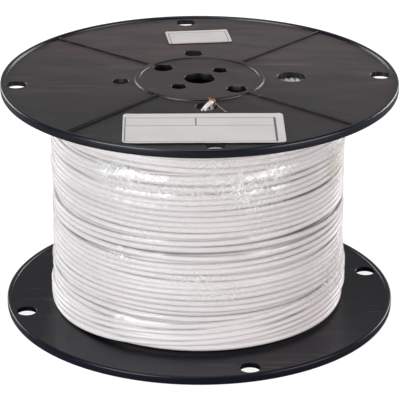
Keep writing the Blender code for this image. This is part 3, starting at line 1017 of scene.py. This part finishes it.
# Labels: width, height and corner, distance and direction of the middle, turn in degrees,
# and the printed rules as left, right, low and high shares of the sheet
LABELS = {
    "large_label": ((0.1026, 0.0508, 0.003), (0.0926, -88.4), 1.0, (
        (0.012, 0.952, 0.868, 0.880), (0.012, 0.940, 0.600, 0.610), (0.012, 0.952, 0.060, 0.072),
        (0.012, 0.018, 0.060, 0.880), (0.450, 0.458, 0.606, 0.872), (0.938, 0.952, 0.060, 0.880))),
    "small_label": ((0.0444, 0.0272, 0.002), (0.0872, 90.6), 7.3, (
        (0.04, 0.96, 0.90, 0.915), (0.04, 0.96, 0.09, 0.105),
        (0.04, 0.05, 0.09, 0.915), (0.95, 0.96, 0.09, 0.915))),
}

# Inner end of the cable: points as x, y and height over the web where it comes out
TAIL_REACH = 0.053
TAIL_STEM = ((0.0086, -0.0503, -0.0040), (0.0085, -0.0507, -0.0010), (0.0080, -0.0518, 0.0022),
             (0.0060, -0.0556, 0.0027), (0.0034, -0.0602, 0.0017))
# The two conductors also part sideways by the last number
TAIL_PRONGS = ((0.0036, -0.0597, 0.0018, 0.0004), (0.0030, -0.0612, 0.0015, 0.0007),
               (0.0025, -0.0626, 0.0010, 0.0011))
TAIL_LOOP = ((0.0102, -0.0502, -0.0034), (0.0104, -0.0508, 0.0004), (0.0103, -0.0524, 0.0020),
             (0.0092, -0.0550, 0.0010))
THIN_WIRE = ((0.0100, -0.0500, -0.0020), (0.0104, -0.0518, 0.0012), (0.0128, -0.0560, 0.0012),
             (0.0150, -0.0603, 0.0008), (0.0172, -0.0645, 0.0007))
STRANDS = 7
STRAND_SEED = 3
STRAND_SPREAD = 0.0004
STRAND_FRAY = 0.0006


def on_label(u, v, width, height, corner):
    """X and Y on a label for a place on its 0 to 1 map, drawn in at the soft corners."""
    x, y = (u - 0.5) * width, (v - 0.5) * height
    over_x = abs(x) - (width / 2 - corner)
    over_y = abs(y) - (height / 2 - corner)
    if over_x > 0 and over_y > 0:
        share = max(over_x, over_y) / math.hypot(over_x, over_y)
        x = math.copysign(width / 2 - corner + over_x * share, x)
        y = math.copysign(height / 2 - corner + over_y * share, y)
    return x, y


def make_label(node, size, place, turn, material):
    """A thin sheet on the web with soft corners and slightly lifted edges."""
    width, height, corner = size
    shape = bmesh.new()
    layer = shape.loops.layers.uv.new("label")
    spin = Matrix.Rotation(math.radians(turn), 2)
    random = np.random.default_rng(int(width * 1e4))
    waves = [(random.normal() * 60, random.normal() * 60, random.random() * 6.28) for _ in range(6)]

    def corner_at(i, j, level):
        u, v = i / LABEL_COLUMNS, j / LABEL_ROWS
        x, y = on_label(u, v, width, height, corner)
        flat = spin @ Vector((x, y))
        px, py = place[0] + flat.x, place[1] + flat.y
        lift = sum(math.sin(a * x + b * y + c) for a, b, c in waves) * 0.00002 + 0.0001
        edge_x = max(0.0, abs(x) / (width / 2) - 0.82)
        edge_y = max(0.0, abs(y) / (height / 2) - 0.8)
        lift += (edge_x ** 2 + edge_y ** 2) * LABEL_CURL
        z = web_top(math.hypot(px, py)) + LABEL_GAP + lift + level * LABEL_THICKNESS
        return shape.verts.new((px, py, z)), (u, v)

    def quad(corners):
        face = shape.faces.new([vert for vert, _ in corners])
        for loop, (_, spot) in zip(face.loops, corners):
            loop[layer].uv = spot

    under, over = [[[corner_at(i, j, level) for j in range(LABEL_ROWS + 1)]
                    for i in range(LABEL_COLUMNS + 1)] for level in (0, 1)]
    for i in range(LABEL_COLUMNS):
        for j in range(LABEL_ROWS):
            cells = ((i, j), (i + 1, j), (i + 1, j + 1), (i, j + 1))
            quad([over[a][b] for a, b in cells])
            quad([under[a][b] for a, b in reversed(cells)])
    edge = ([(i, 0) for i in range(LABEL_COLUMNS)] + [(LABEL_COLUMNS, j) for j in range(LABEL_ROWS)]
            + [(i, LABEL_ROWS) for i in range(LABEL_COLUMNS, 0, -1)]
            + [(0, j) for j in range(LABEL_ROWS, 0, -1)])
    for (i, j), (m, o) in zip(edge, edge[1:] + edge[:1]):
        quad([under[i][j], under[m][o], over[m][o], over[i][j]])
    bmesh.ops.recalc_face_normals(shape, faces=shape.faces)
    mesh_piece(node + "_sheet", take_mesh(shape, node + "_sheet", 40.0), material, node)


def bend_points(knots, steps=12):
    """A smooth path through a few knots."""
    knots = [Vector(k) for k in knots]
    ends = [knots[0] * 2 - knots[1]] + knots + [knots[-1] * 2 - knots[-2]]
    path = []
    for a, b, c, d in zip(ends, ends[1:], ends[2:], ends[3:]):
        for step in range(steps):
            t = step / steps
            path.append(0.5 * ((2 * b) + (c - a) * t + (2 * a - 5 * b + 4 * c - d) * t ** 2
                               + (3 * b - 3 * c + d - a) * t ** 3))
    path.append(knots[-1])
    return [tuple(p) for p in path]


def make_tail(tube, jacket, brown, copper, pale):
    """The cable's inner end: cut jacket, two conductors and bare strands."""
    level = web_top(TAIL_REACH)

    def bent(knots, steps=12):
        return bend_points([(x, y, level + z) for x, y, z in knots], steps), False

    prongs = [bent([(x + side * part, y, z) for x, y, z, part in TAIL_PRONGS]) for side in (-1, 1)]
    random = np.random.default_rng(STRAND_SEED)
    strands = []
    for number in range(STRANDS):
        turn = number * 2 * math.pi / STRANDS
        a, b = STRAND_SPREAD * math.cos(turn), STRAND_SPREAD * math.sin(turn)
        rise, side = random.normal(size=2) * STRAND_FRAY
        strands.append(bent([(0.0104, -0.0510 + a, 0.0014 + b), (0.0096, -0.0506 + a, 0.0036 + b),
                             (0.0078, -0.0508 + 2 * a, 0.0045 + b + rise / 2),
                             (0.0060 + side, -0.0518 + 3 * a, 0.0040 + b + rise)], 6))
    parts = (("tail_jacket", [bent(TAIL_STEM)], jacket, 0.0029, 20),
             ("tail_conductors", prongs, jacket, 0.0013, 12),
             ("tail_brown_conductor", [bent(TAIL_LOOP)], brown, 0.0013, 12),
             ("tail_copper_strands", strands, copper, 0.0003, 6),
             ("tail_thin_wire", [bent(THIN_WIRE)], pale, 0.0006, 8))
    for name, paths, material, diameter, sides in parts:
        tube_piece(tube, name, "cable_tail", paths, material, diameter, sides)


# Camera and lights

REEL_MIDDLE = Vector((0, 0, 0.10))
WHITE = (1, 1, 1)
# Softboxes: place, width and height, power and colour
SOFTBOXES = (
    ("back_softbox", (0, 2.2, 1.0), (3.2, 1.6), 5.4, WHITE),
    ("overhead", (-0.2, -0.1, 1.6), (1.2, 1.0), 13, WHITE),
    ("front_left", (-1.3, -1.5, 0.5), (1.3, 0.9), 36, WHITE),
    ("front_right", (1.6, -1.0, 0.45), (1.3, 0.9), 22, (1.0, 0.95, 0.94)),
    ("back_left", (-1.7, 1.5, 0.5), (1.2, 0.9), 22, WHITE),
    ("back_right", (1.7, 1.5, 0.5), (1.2, 0.9), 28, WHITE),
)


def make_camera():
    """The photograph's camera, found from the edges of both flanges."""
    data = bpy.data.cameras.new("photo_camera")
    data.lens = CAMERA_LENS
    data.sensor_width = 36.0
    data.shift_x, data.shift_y = CAMERA_SHIFT
    data.clip_end = 30
    camera = link_object("photo_camera", data)
    tilt = Matrix.Rotation(math.radians(90 - CAMERA_DOWN), 4, "X")
    roll = Matrix.Rotation(math.radians(CAMERA_ROLL), 4, "Z")
    camera.matrix_world = Matrix.Translation(CAMERA_PLACE) @ tilt @ roll
    bpy.context.scene.camera = camera


def make_softboxes():
    """Soft lights round the reel, each facing its middle."""
    for name, place, size, power, colour in SOFTBOXES:
        data = bpy.data.lights.new(name, "AREA")
        data.shape = "RECTANGLE"
        data.size, data.size_y = size
        data.energy = power
        data.color = colour
        light = link_object(name, data)
        light.location = place
        light.rotation_euler = (REEL_MIDDLE - Vector(place)).to_track_quat("-Z", "Y").to_euler()


def make_studio():
    """A pale floor and an even room."""
    bpy.context.scene.view_settings.view_transform = "Standard"
    world = bpy.data.worlds.new("studio")
    bpy.context.scene.world = world
    world.use_nodes = True
    n = Nodes(world.node_tree)
    back = world.node_tree.nodes["Background"]
    seen = n.add("ShaderNodeLightPath").outputs["Is Camera Ray"]
    n.put(back.inputs["Strength"], n.math("MULTIPLY_ADD", seen, 0.88, 0.20))
    shape = bmesh.new()
    bmesh.ops.create_grid(shape, x_segments=8, y_segments=8, size=6.0)
    mesh = take_mesh(shape, "studio_floor")
    floor = link_object("studio_floor", mesh)
    floor.location.z = -0.0004
    material, n, shader, place = new_material("pale_floor")
    tone = n.noise(place, 3.0)
    n.put(shader["Base Color"], n.mix(tone, (0.24, 0.24, 0.24, 1), (0.27, 0.27, 0.27, 1)))
    shader["Roughness"].default_value = 0.8
    shader["Emission Color"].default_value = (1, 1, 1, 1)
    seen = n.add("ShaderNodeLightPath").outputs["Is Camera Ray"]
    n.put(shader["Emission Strength"], n.times(seen, 0.90))
    mesh.materials.append(material)


def dress_barrel(material):
    """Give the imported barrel, which stays as it is, its board."""
    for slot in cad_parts["barrel"].material_slots:
        slot.material = material


def make_reel():
    """Every piece of the reel, its cable, film and labels."""
    marks = handling_marks_group()
    # The top flange's light smear colour is partly painted sheen; the bottom flange's darker colours are
    # painted shade of the same plastic.
    make_flanges({
        "top_flange": black_plastic(marks, 26.0, 0.5, (0.006, 0.005, 0.006),
                                    (0.080, 0.059, 0.061), 1.5),
        "bottom_flange": black_plastic(marks, 18.0, 0.3, (0.002, 0.002, 0.006),
                                       (0.011, 0.010, 0.015), 1.38)})
    dress_barrel(grey_board())
    tube = cable_tube_tree()
    jacket = white_jacket("white_jacket", 1.0)
    # A copy of the white jacket darkened to 0.12 is painted shade for the core.
    skyline, heights = make_cable(tube, jacket, white_jacket("shaded_jacket", 0.12))
    make_film(skyline, heights, clear_film())
    box = printed_box_group()
    for node, (size, middle, turn, rules) in LABELS.items():
        make_label(node, size, polar(*middle), turn, label_paper(node + "_paper", box, rules))
    make_tail(tube, jacket, brown_insulation(), copper_strand(), tinned_strand())


make_camera()
make_studio()
make_softboxes()
make_reel()
